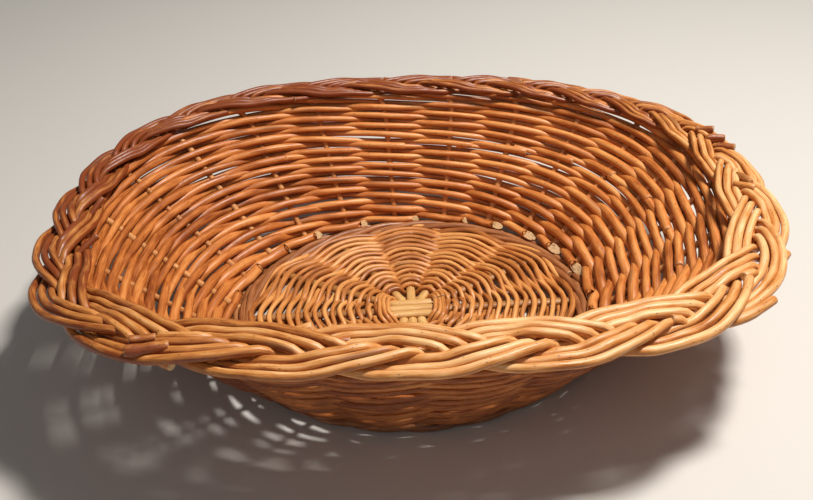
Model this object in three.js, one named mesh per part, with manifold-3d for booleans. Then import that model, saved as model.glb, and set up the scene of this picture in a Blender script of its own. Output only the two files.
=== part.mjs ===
// Open oval basket of woven willow: a round base of twelve spokes, twenty-two side stakes,
// randed walls that flare to an oval mouth, and a flat three-strand plaited border.
// Millimetres, +Z up. The origin is the middle of the underside, on the surface it stands on.

import * as THREE from 'three';
import * as BufferGeometryUtils from 'three/addons/utils/BufferGeometryUtils.js';
import Module from 'manifold-3d';

const wasm = await Module();
wasm.setup();

// ---------------------------------------------------------------- driving dimensions
// Centre line of the wall at the foot, and of the plait at the mouth.
const footHalfLength = 114;
const footHalfDepth = 105;
const mouthHalfLength = 200;
const mouthHalfDepth = 151;
const footSquareness = 2.05; // exponent of the outline: 2 is an ellipse, more is squarer
const mouthSquareness = 2.6;
const wallBulge = 0.1; // how far the wall bows out between foot and mouth
const plaitOutset = 8; // the plait's centre line lies this far outside the stakes

// The mouth isn't level: it dips at both ends and at one corner.
const endDip = 4.5;
const cornerDip = 2.4;
const sideDip = 2;

// Stakes, and how their hand-set spacing opens and closes round the mouth.
const stakeCount = 22;
const stakeDiameter = 5;
const firstStakeAngle = 94;
const wideSpacingShare = 0.13;
const wideSpacingAngle = 245;
const longSideShare = 0.09;
const longSideAngle = 95;

// Weavers: the courses lie one on another, so their thickness sets the basket's height.
const courseCount = 20;
const weaverDiameter = 3.4;
const courseGap = 0.17;

// Plait: three flat strands, each standing for a few rods side by side.
const strandCount = 3;
const strandWidth = 11.5;
const strandThickness = 4.4;
const strandSideGap = 2.8; // between two strands where they lie level, side by side
const strandCrossGap = 1.8; // between two strands where one crosses over the other
const plaitTilt = 4; // degrees that the plait's outer edge droops

// Base.
const stickPairs = 3; // three sticks pass through three split ones
const stickWidth = 5;
const stickHeight = 5;
const stickGap = 1; // between the parallel sticks in the middle
const throughHeight = 3; // a through stick is pared to this height in the middle
const splitWall = 2.4; // wood left above and below the opening in a split stick
const crossingMargin = 1.5; // how far the sticks lie parallel past the crossed bundle
const fanLength = 4; // straight run of a spoke before the first band of weaving
const bandCount = 6;
const bandThickness = 2.4;
const bareMargin = 3; // bare ring inside the first band

// Foot: the thick ring at the bottom edge that the basket stands on.
const footWidth = 9;
const footHeight = 6.5;

const clearance = 0.4;

// ---------------------------------------------------------------- sizes that follow
// Level strands are sin 75 + sin 15 swings apart, and crossing ones are root 3 lifts apart.
const plaitSwing = (strandWidth + strandSideGap) / (2 * Math.sin(Math.PI / 4) * Math.cos(Math.PI / 6));
const plaitLift = (strandThickness + strandCrossGap) / Math.sqrt(3);
const plaitHalfThickness = plaitLift + strandThickness / 2;

// Heights up the basket: base, first course, and mouth.
const spokeHalfHeight = stickHeight / 2;
const baseMiddle = spokeHalfHeight + bandThickness + 2 * clearance;
const courseStart = baseMiddle + spokeHalfHeight + weaverDiameter / 2 + 2 * clearance;
const courseRise = weaverDiameter + courseGap;
const weaverOffset = (stakeDiameter + weaverDiameter) / 2 + clearance;
const endFlare = mouthHalfLength - plaitOutset - footHalfLength;
const coursesHeight = (courseCount - 1) * courseRise;
// Where the wall leans out, a weaver inside a stake also sits higher than the wall's middle.
const leanRise = weaverOffset * endFlare / Math.hypot(endFlare, coursesHeight);
const courseReach = weaverDiameter / 2 + clearance + leanRise;
const courseTop = courseStart + coursesHeight + courseReach;
const wallTopDrop = plaitHalfThickness + clearance;
const mouthHeight = courseTop + wallTopDrop;

// The wall runs from the top of the foot ring up to the underside of the plait.
const wallFoot = footHeight + clearance;
const wallHeight = courseTop - wallFoot;

// ---------------------------------------------------------------- colours
const willow = (color, roughness) => new THREE.MeshStandardMaterial({ color, roughness, metalness: 0 });
const weaverMaterial = willow(0xb06a30, 0.55);
const stakeMaterial = willow(0x9c5a2b, 0.6);
const plaitMaterial = willow(0xc98f50, 0.45);
const stickMaterial = willow(0xcf9c5c, 0.6);
const bandMaterial = willow(0xa86530, 0.6);
const footMaterial = willow(0x7f4522, 0.65);

// ---------------------------------------------------------------- outline of the basket
const fullTurn = 2 * Math.PI;
const pathStep = 0.001; // step, in radians or levels, for finding directions
const radians = THREE.MathUtils.degToRad;
const mix = THREE.MathUtils.lerp;

/** Radius of a superellipse at a polar angle. */
function superRadius(angle, halfLength, halfDepth, squareness) {
  const along = Math.abs(Math.cos(angle) / halfLength) ** squareness;
  const across = Math.abs(Math.sin(angle) / halfDepth) ** squareness;
  return (along + across) ** (-1 / squareness);
}

/** The superellipse's own parameter at a polar angle, as its cosine and sine. */
function ownParameter(angle) {
  const radius = superRadius(angle, mouthHalfLength, mouthHalfDepth, mouthSquareness);
  const half = mouthSquareness / 2;
  const cosine = Math.cos(angle);
  const sine = Math.sin(angle);
  return {
    c: Math.sign(cosine) * Math.abs(radius * cosine / mouthHalfLength) ** half,
    s: Math.sign(sine) * Math.abs(radius * sine / mouthHalfDepth) ** half,
  };
}

/** Height of the mouth above the surface at a polar angle. */
function mouthHeightAt(angle) {
  const { c, s } = ownParameter(angle);
  return mouthHeight - endDip * (c * c - s * s) + cornerDip * (4 * c ** 3 - 3 * c) - sideDip * c;
}

/** A point on the wall's middle surface; level runs from 0 at the foot to 1 under the plait. */
function wallPoint(level, angle) {
  const spread = level + wallBulge * level * (1 - level);
  const radius = superRadius(
    angle,
    mix(footHalfLength, mouthHalfLength - plaitOutset, spread),
    mix(footHalfDepth, mouthHalfDepth - plaitOutset, spread),
    mix(footSquareness, mouthSquareness, level),
  );
  const height = mix(wallFoot, mouthHeightAt(angle) - wallTopDrop, level);
  return new THREE.Vector3(radius * Math.cos(angle), radius * Math.sin(angle), height);
}

/** Right-handed axes on the wall: along the course, out through the wall, and up the wall. */
function wallAxes(level, angle) {
  const along = wallPoint(level, angle + pathStep).sub(wallPoint(level, angle - pathStep)).normalize();
  const climb = wallPoint(level + pathStep, angle).sub(wallPoint(level - pathStep, angle)).normalize();
  const out = new THREE.Vector3().crossVectors(along, climb).normalize();
  const up = new THREE.Vector3().crossVectors(out, along);
  return { along, out, up };
}

// ---------------------------------------------------------------- places of the stakes
/** Share of the way round the mouth at a polar angle, opened and closed as the stakes are. */
const mouthTable = (() => {
  const samples = 1440;
  const shares = [0];
  const at = (i) => {
    const angle = fullTurn * i / samples;
    const radius = superRadius(angle, mouthHalfLength, mouthHalfDepth, mouthSquareness);
    return new THREE.Vector2(radius * Math.cos(angle), radius * Math.sin(angle));
  };
  for (let i = 0; i < samples; i += 1) {
    const { c, s } = ownParameter(fullTurn * (i + 0.5) / samples);
    const own = Math.atan2(s, c);
    const spacing = 1 + wideSpacingShare * Math.cos(own - radians(wideSpacingAngle))
      + longSideShare * Math.cos(2 * (own - radians(longSideAngle)));
    shares.push(shares[i] + at(i).distanceTo(at(i + 1)) / spacing);
  }
  return shares.map((share) => share / shares[samples]);
})();

/** Share of the way round the mouth at a polar angle between 0 and a full turn. */
function shareAt(angle) {
  const place = angle / fullTurn * (mouthTable.length - 1);
  const i = Math.floor(place);
  return mix(mouthTable[i], mouthTable[i + 1], place - i);
}

/** Polar angle at a share of the way round the mouth; the share may pass a full turn. */
function angleAtShare(share) {
  const turns = Math.floor(share);
  const rest = share - turns;
  const i = Math.max(mouthTable.findIndex((value) => value > rest), 1) - 1;
  const between = (rest - mouthTable[i]) / (mouthTable[i + 1] - mouthTable[i]);
  return fullTurn * (turns + (i + between) / (mouthTable.length - 1));
}

const firstStakeShare = shareAt(radians(firstStakeAngle));

/** Polar angle at a number of stakes, whole or not, on from the first one. */
const stakeAngle = (count) => angleAtShare(firstStakeShare + count / stakeCount);

// ---------------------------------------------------------------- mesh helpers
/** Moves every vertex with a function and joins the shared ones, so the body is closed. */
function bend(geometry, place) {
  const position = geometry.getAttribute('position');
  for (let i = 0; i < position.count; i += 1) {
    const point = place(new THREE.Vector3().fromBufferAttribute(position, i));
    position.setXYZ(i, point.x, point.y, point.z);
  }
  geometry.deleteAttribute('normal');
  geometry.deleteAttribute('uv');
  const joined = BufferGeometryUtils.mergeVertices(geometry, 1e-4);
  joined.computeVertexNormals();
  return joined;
}

const latheRadius = 100; // of every lathe before bend places it

/** A ring of a closed section, one corner list, as a lathe that bend then places. */
function ringOf(corners, segments) {
  const profile = corners.map(([x, y]) => new THREE.Vector2(latheRadius + x, y));
  return new THREE.LatheGeometry([...profile, profile[0]], segments);
}

/** How far outside the lathe's radius a vertex is that bend is about to place. */
const latheOutward = (point) => Math.hypot(point.x, point.z) - latheRadius;

/** The step number round a lathe of a vertex that bend is about to place. */
const latheStep = (point, segments) => Math.round(Math.atan2(point.x, point.z) / fullTurn * segments);

/** A manifold-3d solid from a closed geometry, and back. */
function toSolid(geometry) {
  const vertProperties = new Float32Array(geometry.getAttribute('position').array);
  const triVerts = new Uint32Array(geometry.index.array);
  return new wasm.Manifold(new wasm.Mesh({ numProp: 3, vertProperties, triVerts }));
}

function toGeometry(solid) {
  const mesh = solid.getMesh();
  const geometry = new THREE.BufferGeometry();
  geometry.setAttribute('position', new THREE.BufferAttribute(new Float32Array(mesh.vertProperties), 3));
  geometry.setIndex(new THREE.BufferAttribute(new Uint32Array(mesh.triVerts), 1));
  geometry.computeVertexNormals();
  return geometry;
}

function piece(name, geometry, material) {
  const mesh = new THREE.Mesh(geometry, material);
  mesh.name = name;
  return mesh;
}

const twoDigits = (number) => String(number).padStart(2, '0');

// ---------------------------------------------------------------- side stakes
const stakeSides = 6;
const stakeSteps = 5;

/** One stake: a rod up the middle of the wall, from the foot ring to under the plait. */
function sideStake(index) {
  const angle = stakeAngle(index);
  const rod = new THREE.CylinderGeometry(stakeDiameter / 2, stakeDiameter / 2, 1, stakeSides, stakeSteps);
  return bend(rod, (point) => {
    const level = point.y + 0.5;
    const { along, out } = wallAxes(level, angle);
    const flat = new THREE.Vector3(out.x, out.y, 0).normalize();
    return wallPoint(level, angle).addScaledVector(flat, point.x).addScaledVector(along, -point.z);
  });
}

// ---------------------------------------------------------------- wall courses
const courseSides = 6;
const firstLevel = (courseStart - wallFoot) / wallHeight;
const lastLevel = 1 - courseReach / wallHeight;

/** One course: a closed rod that passes outside one stake and inside the next. */
function wallCourse(index) {
  const level = mix(firstLevel, lastLevel, index / (courseCount - 1));
  const corners = [];
  for (let k = 0; k < courseSides; k += 1) {
    const turn = fullTurn * (k + 0.5) / courseSides;
    corners.push([Math.cos(turn) * weaverDiameter / 2, Math.sin(turn) * weaverDiameter / 2]);
  }
  const ring = ringOf(corners, stakeCount);
  return bend(ring, (point) => {
    const step = latheStep(point, stakeCount);
    const side = (step + index) % 2 === 0 ? 1 : -1;
    const angle = stakeAngle(step);
    const { out, up } = wallAxes(level, angle);
    return wallPoint(level, angle)
      .addScaledVector(out, side * weaverOffset + latheOutward(point))
      .addScaledVector(up, point.y);
  });
}

// ---------------------------------------------------------------- plaited border
const strandSides = 6;
const stepsPerStake = 4;
const strandEndGap = 0.004; // share of a stake spacing left open at each end of a strand
const strandPathStep = 0.05; // stake spacings, for finding a strand's direction

/** A strand's middle at a number of stakes on, for a strand that starts at its own phase. */
function plaitPoint(count, phase) {
  const wave = fullTurn * count / strandCount + phase;
  const angle = stakeAngle(count);
  const tilt = radians(plaitTilt);
  const across = plaitSwing * Math.sin(wave);
  const over = -plaitLift * Math.sin(2 * wave);
  const out = plaitOut(angle);
  const radius = superRadius(angle, mouthHalfLength, mouthHalfDepth, mouthSquareness);
  return new THREE.Vector3(radius * Math.cos(angle), radius * Math.sin(angle), mouthHeightAt(angle))
    .addScaledVector(out, across * Math.cos(tilt) + over * Math.sin(tilt))
    .add(new THREE.Vector3(0, 0, over * Math.cos(tilt) - across * Math.sin(tilt)));
}

/** The level direction out from the plait at a polar angle. */
function plaitOut(angle) {
  const edge = (at) => {
    const radius = superRadius(at, mouthHalfLength, mouthHalfDepth, mouthSquareness);
    return new THREE.Vector3(radius * Math.cos(at), radius * Math.sin(at), 0);
  };
  const along = edge(angle + pathStep).sub(edge(angle - pathStep)).normalize();
  return new THREE.Vector3(along.y, -along.x, 0);
}

/** One strand: a flat rod that snakes once round the mouth and meets the next strand's start. */
function plaitStrand(index) {
  const steps = stakeCount * stepsPerStake;
  const rod = new THREE.CylinderGeometry(0.5, 0.5, 1, strandSides, steps);
  const phase = fullTurn * index / strandCount;
  return bend(rod, (point) => {
    const count = mix(strandEndGap, stakeCount - strandEndGap, point.y + 0.5);
    const middle = plaitPoint(count, phase);
    const along = plaitPoint(count + strandPathStep, phase)
      .sub(plaitPoint(count - strandPathStep, phase))
      .normalize();
    const flat = new THREE.Vector3().crossVectors(along, new THREE.Vector3(0, 0, 1)).normalize();
    const up = new THREE.Vector3().crossVectors(flat, along);
    return middle.addScaledVector(flat, -point.z * strandWidth).addScaledVector(up, point.x * strandThickness);
  });
}

// ---------------------------------------------------------------- base
const spokeCount = 4 * stickPairs;
const spokeAngle = fullTurn / spokeCount;
const stickPitch = stickWidth + stickGap;
const splitHeight = throughHeight + 2 * (clearance + splitWall);
const bundleHalf = (stickPairs - 1) / 2 * stickPitch + stickWidth / 2;
const crossing = bundleHalf + crossingMargin; // the sticks lie parallel this far from the centre
const firstBandRadius = stickPitch / Math.sin(spokeAngle) + fanLength + bareMargin;
const footInner = footWidth / 2 + clearance;
const footNarrowHalf = Math.min(footHalfLength, footHalfDepth);

/** Radius of the base's outline at a polar angle. */
const footRadius = (angle) => superRadius(angle, footHalfLength, footHalfDepth, footSquareness);

/** Where a stick's end leaves the parallel bundle, and which way its spoke then points. */
function stickBend(share, lane) {
  const side = Math.sign(share) || 1;
  const turn = lane * spokeAngle;
  const bendAt = lane === 0 ? 0 : Math.abs(lane) * stickPitch / Math.tan(Math.abs(turn));
  const inner = new THREE.Vector2(side * bendAt, lane * stickPitch);
  return { inner, direction: new THREE.Vector2(side * Math.cos(turn), Math.sin(turn)) };
}

const stickSides = 6;
const centreShare = 0.25; // share of a stick's mesh that lies parallel in the crossing
const fanShare = 0.5; // share where it has turned into its spoke
const stickStops = [-1, -fanShare, -centreShare, centreShare, fanShare, 1];

/** One stick, lying along X or turned to Y: parallel at the crossing, then fanned into two spokes. */
function baseStick(lane, turned, heightAtCentre) {
  const steps = stickStops.length - 1;
  const rod = new THREE.CylinderGeometry(0.5, 0.5, steps, stickSides, steps);
  const quarter = turned ? Math.PI / 2 : 0;
  return bend(rod, (point) => {
    const share = stickStops[Math.round(point.y + steps / 2)];
    const { inner, direction } = stickBend(share, lane);
    const centre = Math.abs(share) === centreShare;
    const middle = Math.abs(share) <= fanShare;
    const reachAngle = Math.atan2(direction.y, direction.x) + quarter;
    const reach = footRadius(reachAngle) - footInner;
    const at = inner.clone();
    if (centre) at.x = Math.sign(share) * Math.min(Math.abs(inner.x) || crossing, crossing);
    if (middle && !centre) at.addScaledVector(direction, (inner.x === 0 ? crossing : 0) + fanLength);
    if (!middle) at.copy(direction).multiplyScalar(reach);
    const across = new THREE.Vector2(-direction.y, direction.x).multiplyScalar(Math.sign(share));
    if (centre) across.set(0, 1);
    const height = centre ? heightAtCentre : stickHeight;
    const flat = at.addScaledVector(across, point.x * stickWidth);
    flat.rotateAround(new THREE.Vector2(0, 0), quarter);
    return new THREE.Vector3(flat.x, flat.y, baseMiddle - point.z * height);
  });
}

/** The opening that the through sticks pass through in a split one. */
function splitOpening() {
  const width = 2 * (bundleHalf + clearance);
  const length = 2 * (bundleHalf + stickWidth);
  const box = new THREE.BoxGeometry(width, length, throughHeight + 2 * clearance);
  box.translate(0, 0, baseMiddle);
  return bend(box, (point) => point);
}

/** One band of base weaving: a flat ring that passes over one spoke and under the next. */
function baseBand(index) {
  const lastShare = 1 - (footInner + weaverOffset) / footNarrowHalf;
  const firstShare = firstBandRadius / footNarrowHalf;
  const width = (lastShare - firstShare) / bandCount;
  const inner = firstShare + width * index;
  const outer = inner + width - 2 * clearance / footNarrowHalf;
  const half = bandThickness / 2;
  const stepsPerSpoke = 3; // before the spoke, past it, and half way to the next one
  const segments = stepsPerSpoke * spokeCount;
  const ring = ringOf([[-1, -half], [1, -half], [1, half], [-1, half]], segments);
  const lift = spokeHalfHeight + half + clearance;
  return bend(ring, (point) => {
    const step = (latheStep(point, segments) + segments) % segments;
    const spoke = Math.floor(step / stepsPerSpoke);
    const part = step % stepsPerSpoke;
    const share = latheOutward(point) > 0 ? outer : inner;
    const besides = Math.asin((stickWidth / 2 + 2 * clearance) / (share * footRadius(spoke * spokeAngle)));
    const angle = spoke * spokeAngle + [-besides, besides, spokeAngle / 2][part];
    const radius = share * footRadius(angle);
    const side = (spoke + index) % 2 === 0 ? 1 : -1;
    const rise = part === 2 ? 0 : side * lift;
    return new THREE.Vector3(radius * Math.cos(angle), radius * Math.sin(angle), baseMiddle + rise + point.y);
  });
}

/** The foot ring, flat underneath. */
function footRing() {
  const half = footWidth / 2;
  const corners = [[-half, 0], [half, 0], [half, footHeight / 2], [half / 2, footHeight],
    [-half / 2, footHeight], [-half, footHeight / 2]];
  const segments = 2 * stakeCount;
  const ring = ringOf(corners, segments);
  return bend(ring, (point) => {
    const angle = Math.atan2(point.x, point.z);
    const radius = footRadius(angle) + latheOutward(point);
    return new THREE.Vector3(radius * Math.cos(angle), radius * Math.sin(angle), point.y);
  });
}

// ---------------------------------------------------------------- assembly
const basket = new THREE.Group();
basket.name = 'willow_basket';

basket.add(piece('foot_ring', footRing(), footMaterial));

const laneMiddle = (stickPairs - 1) / 2;
const opening = toSolid(splitOpening());
for (let i = 0; i < stickPairs; i += 1) {
  const lane = i - laneMiddle;
  basket.add(piece(`through_stick_${i + 1}`, baseStick(lane, true, throughHeight), stickMaterial));
  const whole = toSolid(baseStick(lane, false, splitHeight));
  basket.add(piece(`split_stick_${i + 1}`, toGeometry(whole.subtract(opening)), stickMaterial));
}

for (let i = 0; i < bandCount; i += 1) {
  basket.add(piece(`base_weave_${i + 1}`, baseBand(i), bandMaterial));
}

for (let i = 0; i < stakeCount; i += 1) {
  basket.add(piece(`side_stake_${twoDigits(i + 1)}`, sideStake(i), stakeMaterial));
}

for (let i = 0; i < courseCount; i += 1) {
  basket.add(piece(`wall_course_${twoDigits(i + 1)}`, wallCourse(i), weaverMaterial));
}

for (let i = 0; i < strandCount; i += 1) {
  basket.add(piece(`border_strand_${i + 1}`, plaitStrand(i), plaitMaterial));
}

// The plait isn't symmetric, so the whole basket shifts a little to centre its box on the origin.
const box = new THREE.Box3().setFromObject(basket, true);
const middle = box.getCenter(new THREE.Vector3());
basket.position.set(-middle.x, -middle.y, 0);

export default basket;
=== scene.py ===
# %% [markdown]
# # A shallow oval basket of buff willow
# The basket is woven from peeled willow rods: a round base on twelve spokes, a flaring wall of
# rods that climb round twenty-two stakes, and a flat plaited border.
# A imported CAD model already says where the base, the stakes, the wall and the border are.
# Here every rod is made again as a rod, on the surfaces that the CAD pieces give. Lengths are in
# metres, so sizes in millimetres are written with a factor, MM.

# %% Load the frame
import math

import bpy
import numpy as np
from mathutils import Matrix, Vector


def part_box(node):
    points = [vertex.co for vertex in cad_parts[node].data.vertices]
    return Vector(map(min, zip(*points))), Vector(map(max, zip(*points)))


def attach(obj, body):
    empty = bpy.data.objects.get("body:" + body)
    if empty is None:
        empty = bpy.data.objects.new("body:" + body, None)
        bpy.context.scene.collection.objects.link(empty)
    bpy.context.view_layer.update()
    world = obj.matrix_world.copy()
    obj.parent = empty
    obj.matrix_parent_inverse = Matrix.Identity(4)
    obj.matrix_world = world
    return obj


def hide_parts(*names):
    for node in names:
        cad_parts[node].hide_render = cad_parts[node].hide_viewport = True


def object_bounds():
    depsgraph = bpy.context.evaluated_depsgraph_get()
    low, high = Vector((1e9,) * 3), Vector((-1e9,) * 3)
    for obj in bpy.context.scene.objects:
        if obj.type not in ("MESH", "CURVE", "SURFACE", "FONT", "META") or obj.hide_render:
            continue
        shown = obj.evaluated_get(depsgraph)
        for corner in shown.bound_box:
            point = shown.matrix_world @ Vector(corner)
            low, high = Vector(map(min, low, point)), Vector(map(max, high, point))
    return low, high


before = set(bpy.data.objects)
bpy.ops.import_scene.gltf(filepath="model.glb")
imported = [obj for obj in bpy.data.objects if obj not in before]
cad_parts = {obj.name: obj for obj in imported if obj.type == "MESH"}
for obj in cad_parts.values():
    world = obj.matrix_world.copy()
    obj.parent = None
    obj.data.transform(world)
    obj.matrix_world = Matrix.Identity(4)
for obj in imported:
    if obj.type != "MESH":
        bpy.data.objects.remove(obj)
cad_box = [list(corner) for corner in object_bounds()]
MM = 0.001
TURN = 2 * math.pi
print("CAD box, mm:", np.round(np.array(cad_box) / MM, 1).tolist())

# %% [markdown]
# ## Camera
# A basket on a table is seen from in front and above, so the inside of the far wall and the top of
# the near border both show. Yaw, pitch and roll say that more plainly than a rotation matrix
# does, so the three axes are worked out from them.

# %% Camera
CAMERA_PLACE = np.array([-6.9, -523.1, 396.5]) * MM
CAMERA_YAW = math.radians(0.59)
CAMERA_PITCH = math.radians(33.37)
CAMERA_ROLL = math.radians(-3.01)
CAMERA_LENS = 44.9


def camera_axes(yaw, pitch, roll):
    """right, up and forward of a camera.

    forward = (sin yaw cos pitch, cos yaw cos pitch, -sin pitch), right = (cos yaw, -sin yaw, 0),
    up = right x forward, and the roll turns right and up about forward.
    """
    forward = np.array([
        math.sin(yaw) * math.cos(pitch),
        math.cos(yaw) * math.cos(pitch),
        -math.sin(pitch),
    ])
    right = np.array([math.cos(yaw), -math.sin(yaw), 0.0])
    up = np.cross(right, forward)
    rolled_right = math.cos(roll) * right + math.sin(roll) * up
    rolled_up = math.cos(roll) * up - math.sin(roll) * right
    return rolled_right, rolled_up, forward


camera_data = bpy.data.cameras.new("camera")
camera_data.sensor_width = 36
camera_data.lens = CAMERA_LENS
camera = bpy.data.objects.new("camera", camera_data)
bpy.context.scene.collection.objects.link(camera)
view_right, view_up, view_forward = camera_axes(CAMERA_YAW, CAMERA_PITCH, CAMERA_ROLL)
camera_matrix = np.eye(4)
camera_matrix[:3, 0] = view_right
camera_matrix[:3, 1] = view_up
camera_matrix[:3, 2] = -view_forward
camera_matrix[:3, 3] = CAMERA_PLACE
camera.matrix_world = Matrix(camera_matrix.tolist())
bpy.context.scene.camera = camera
print("camera at, mm:", (CAMERA_PLACE / MM).tolist())

# %% [markdown]
# ## Willow as a shader
# Peeled willow is orange brown where it was boiled in its bark. It has fine streaks along the
# rod, soft blotches, tiny dark specks, and a bud scar every few centimetres.
# The pattern has to follow each rod round the basket, so it reads a place that is stored on the
# mesh: how far along the rod, and where on its round section. A second stored number, the tone,
# says how pale or stained the rod is there, and in places painted shade is lowered into it as well.
# One node group turns both into colour, roughness and relief, and every willow material uses it with its
# own three colours.

# %% Node helpers
def add_node(tree, kind, **settings):
    """A node of a kind, with its settings; numbers for its input sockets go in `values`."""
    values = settings.pop("values", {})
    node = tree.nodes.new(kind)
    for key, value in settings.items():
        setattr(node, key, value)
    for key, value in values.items():
        node.inputs[key].default_value = value
    return node


def new_group(name, inputs, outputs):
    """A node group with named sockets, its group input node and its group output node."""
    group = bpy.data.node_groups.new(name, "ShaderNodeTree")
    for title, kind in inputs:
        group.interface.new_socket(title, in_out="INPUT", socket_type="NodeSocket" + kind)
    for title, kind in outputs:
        group.interface.new_socket(title, in_out="OUTPUT", socket_type="NodeSocket" + kind)
    return group, group.nodes.new("NodeGroupInput"), group.nodes.new("NodeGroupOutput")


def stretched(tree, source, scale):
    """The place times a scale for each axis: along the rod, and twice across it."""
    node = add_node(tree, "ShaderNodeVectorMath", operation="MULTIPLY")
    tree.links.new(source, node.inputs[0])
    node.inputs[1].default_value = scale
    return node.outputs["Vector"]


def noise(tree, source, scale, detail=3.0, roughness=0.55):
    """Cloudy noise from 0 to 1 on a stretched place."""
    values = {"Scale": 1.0, "Detail": detail, "Roughness": roughness}
    node = add_node(tree, "ShaderNodeTexNoise", values=values)
    tree.links.new(stretched(tree, source, scale), node.inputs["Vector"])
    return node.outputs["Fac"]


def remap(tree, source, low, high, to_low=0.0, to_high=1.0):
    """A value moved from low..high to to_low..to_high and kept inside them."""
    node = add_node(tree, "ShaderNodeMapRange", values={
        "From Min": low, "From Max": high, "To Min": to_low, "To Max": to_high,
    })
    tree.links.new(source, node.inputs["Value"])
    return node.outputs["Result"]


def maths(tree, operation, first, second):
    """One sum, product or other step of arithmetic; either side may be a socket or a number."""
    node = add_node(tree, "ShaderNodeMath", operation=operation)
    for index, value in enumerate((first, second)):
        if isinstance(value, (int, float)):
            node.inputs[index].default_value = value
        else:
            tree.links.new(value, node.inputs[index])
    return node.outputs[0]


def blend_colours(tree, factor, first, second):
    """A mix of two colours; the factor and either colour may be a socket or a value."""
    node = add_node(tree, "ShaderNodeMix", data_type="RGBA")
    for socket, value in ((node.inputs[0], factor), (node.inputs[6], first), (node.inputs[7], second)):
        if isinstance(value, (int, float, tuple)):
            socket.default_value = value
        else:
            tree.links.new(value, socket)
    return node.outputs[2]


print("node helpers ready")

# %% Willow skin group
# Noise cells for each metre: along the rod, and twice across it.
STREAK_SCALE = (70.0, 1300.0, 1300.0)
BLOTCH_SCALE = (60.0, 210.0, 210.0)
CLOUD_SCALE = (9.0, 30.0, 30.0)
SPECK_SCALE = (420.0, 1000.0, 1000.0)
SCAR_SCALE = (22.0, 170.0, 170.0)
# How much each of them adds to the lightness, and how much specks and scars cover the wood.
TONE_SHARE, STREAK_SHARE, BLOTCH_SHARE, CLOUD_SHARE = 0.6, 1.3, 1.2, 0.7
SPECK_COVER, SCAR_COVER = 0.75, 0.6
DARK_END, MIDDLE_START, MIDDLE_END, PALE_START = 1.3, 1.85, 1.8, 2.45  # lightness at each colour
SPECK_SIZE, SCAR_SIZE, SCAR_CHANCE = 0.34, 0.36, 0.12
LEAST_ROUGH, ROUGH_SPREAD, SCAR_ROUGH = 0.24, 0.3, 0.2

skin, skin_in, skin_out = new_group(
    "willow_skin",
    [("Place", "Vector"), ("Tone", "Float"), ("Pale", "Color"), ("Middle", "Color"),
     ("Dark", "Color"), ("Specks", "Float")],
    [("Color", "Color"), ("Roughness", "Float"), ("Height", "Float")],
)
place_in = skin_in.outputs["Place"]
streaks = noise(skin, place_in, STREAK_SCALE, detail=4.0, roughness=0.6)
blotches = noise(skin, place_in, BLOTCH_SCALE)
clouds = noise(skin, place_in, CLOUD_SCALE, detail=2.0)

tone_part = maths(skin, "MULTIPLY", skin_in.outputs["Tone"], TONE_SHARE)
streak_part = maths(skin, "MULTIPLY", streaks, STREAK_SHARE)
blotch_part = maths(skin, "MULTIPLY", blotches, BLOTCH_SHARE)
cloud_part = maths(skin, "MULTIPLY", clouds, CLOUD_SHARE)
lightness = maths(skin, "ADD", maths(skin, "ADD", tone_part, streak_part),
                  maths(skin, "ADD", blotch_part, cloud_part))
dark_to_middle = remap(skin, lightness, DARK_END, MIDDLE_START)
middle_to_pale = remap(skin, lightness, MIDDLE_END, PALE_START)
wood = blend_colours(skin, dark_to_middle, skin_in.outputs["Dark"], skin_in.outputs["Middle"])
wood = blend_colours(skin, middle_to_pale, wood, skin_in.outputs["Pale"])


def spots(tree, source, scale, size, chosen):
    """Round spots in a share `chosen` of random cells: 1 at a spot's middle, 0 outside its size."""
    cells = add_node(tree, "ShaderNodeTexVoronoi", values={"Scale": 1.0})
    tree.links.new(stretched(tree, source, scale), cells.inputs["Vector"])
    channels = add_node(tree, "ShaderNodeSeparateColor")
    tree.links.new(cells.outputs["Color"], channels.inputs["Color"])
    picked = maths(tree, "LESS_THAN", channels.outputs["Red"], chosen)
    spot = remap(tree, cells.outputs["Distance"], 0.4 * size, size, 1.0, 0.0)
    return maths(tree, "MULTIPLY", spot, picked)


specks = spots(skin, place_in, SPECK_SCALE, SPECK_SIZE, skin_in.outputs["Specks"])
scars = spots(skin, place_in, SCAR_SCALE, SCAR_SIZE, SCAR_CHANCE)
SPECK_COLOUR = (0.07, 0.028, 0.012, 1.0)
SCAR_COLOUR = (0.16, 0.06, 0.022, 1.0)
wood = blend_colours(skin, maths(skin, "MULTIPLY", specks, SPECK_COVER), wood, SPECK_COLOUR)
wood = blend_colours(skin, maths(skin, "MULTIPLY", scars, SCAR_COVER), wood, SCAR_COLOUR)
skin.links.new(wood, skin_out.inputs["Color"])
roughness = maths(skin, "ADD", maths(skin, "MULTIPLY", blotches, ROUGH_SPREAD), LEAST_ROUGH)
roughness = maths(skin, "ADD", roughness, maths(skin, "MULTIPLY", scars, SCAR_ROUGH))
skin.links.new(roughness, skin_out.inputs["Roughness"])
relief = maths(skin, "ADD", maths(skin, "MULTIPLY", streaks, 0.9), maths(skin, "MULTIPLY", blotches, 0.8))
relief = maths(skin, "ADD", relief, maths(skin, "MULTIPLY", scars, 0.8))
skin.links.new(relief, skin_out.inputs["Height"])
print("willow skin group:", len(skin.nodes), "nodes")

# %% [markdown]
# A rod's cut end shows pale wood with a little dirt in its grain. The mesh marks the cut with an
# attribute, and a second small group turns that into a colour. The Principled shader itself stays
# in each material, and only its colour, roughness and bump are worked out in groups.

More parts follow.
